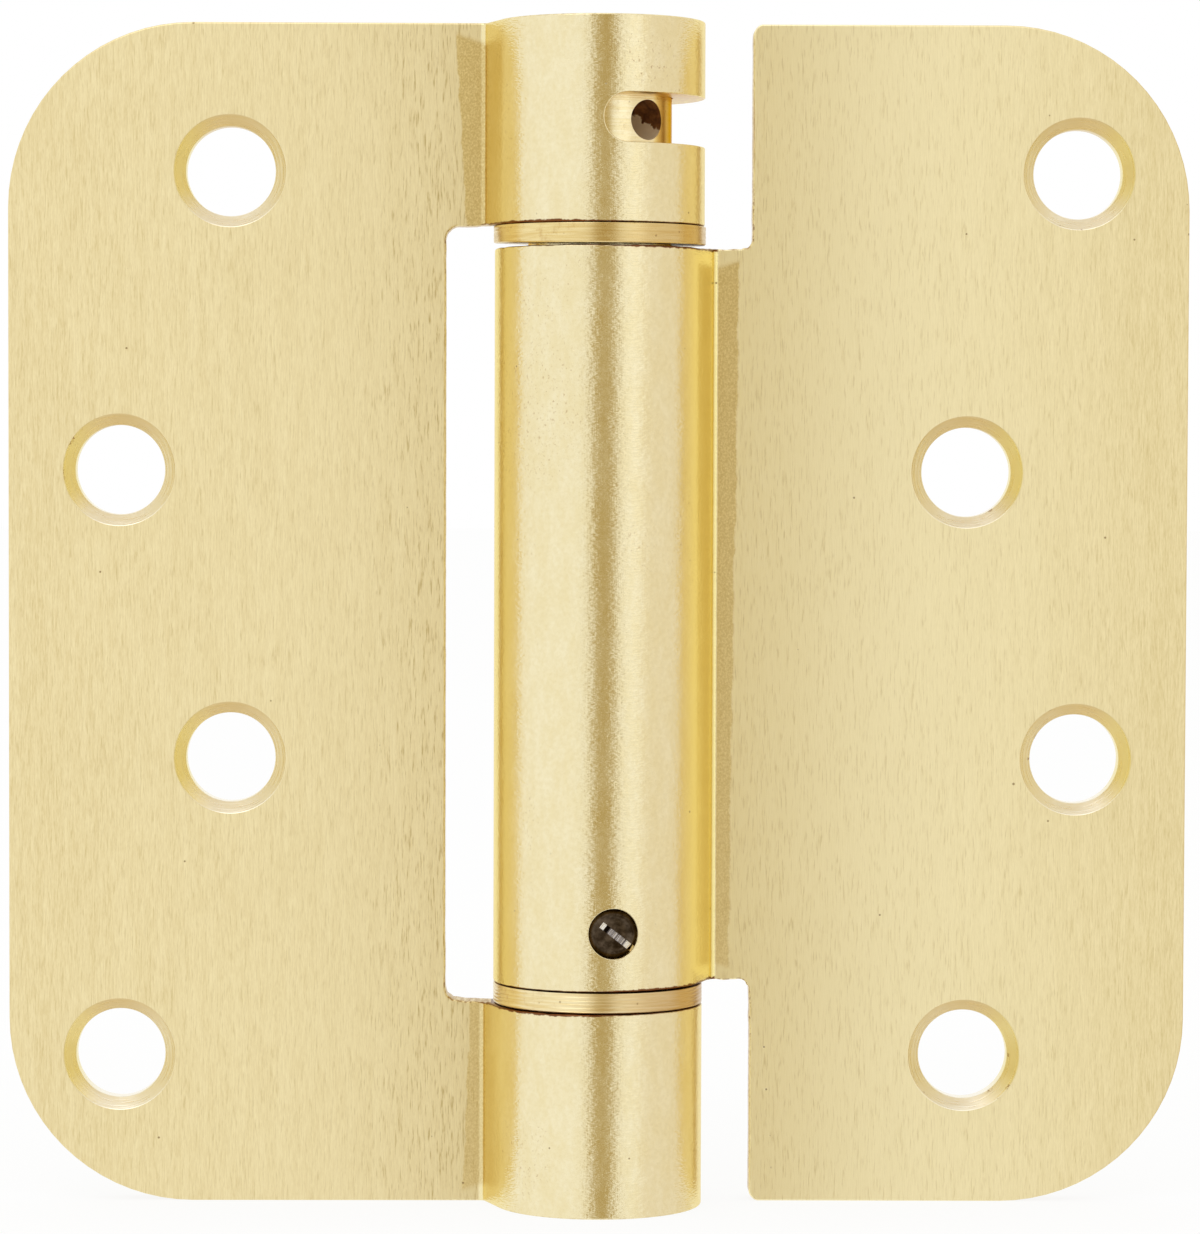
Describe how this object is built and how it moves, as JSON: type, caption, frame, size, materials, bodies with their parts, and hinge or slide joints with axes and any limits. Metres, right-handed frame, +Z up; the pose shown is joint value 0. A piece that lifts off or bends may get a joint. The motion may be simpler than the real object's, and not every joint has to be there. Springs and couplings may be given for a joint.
{
  "type": "spring hinge",
  "caption": "Self-closing butt hinge with two round-cornered leaves, a rolled barrel with a wrench slot, turned rings and a tension spring inside.",
  "frame": {"origin": "on the pivot axis at the barrel's mid height, with the leaves open flat", "axes": "+Z up the barrel; +X to the door leaf, -X to the frame leaf; -Y is the side the screw heads and the barrel's bulge are on"},
  "size_m": [0.1016, 0.0182, 0.1016],
  "materials": {
    "satin_brass_leaf": "steel sheet, satin brass plate, brushed along the barrel",
    "brass_collar": "satin brass",
    "turned_brass_ring": "turned brass, fine tool lines",
    "plain_steel": "turned steel, oiled",
    "spring_steel": "oiled spring steel",
    "black_oxide_steel": "black oxide"
  },
  "bodies": {
    "frame": {"frame_leaf": "satin_brass_leaf", "upper_bearing_ring": "turned_brass_ring", "lower_bearing_ring": "turned_brass_ring", "top_end_plug": "brass_collar", "bottom_end_plug": "brass_collar"},
    "door": {"door_leaf": "satin_brass_leaf", "spring_anchor": "plain_steel", "grub_screw": "black_oxide_steel", "torsion_spring": "spring_steel"},
    "collar": {"tension_collar": "brass_collar"}
  },
  "joints": [
    {"name": "door_swing", "type": "hinge", "parent": "frame", "child": "door", "pos_m": [0, 0, 0], "axis": [0, 0, 1], "range_deg": [-180, 145], "deforming": ["torsion_spring"]},
    {"name": "collar_turn", "type": "hinge", "parent": "frame", "child": "collar", "pos_m": [0, 0, 0.042], "axis": [0, 0, 1], "continuous": true}
  ]
}
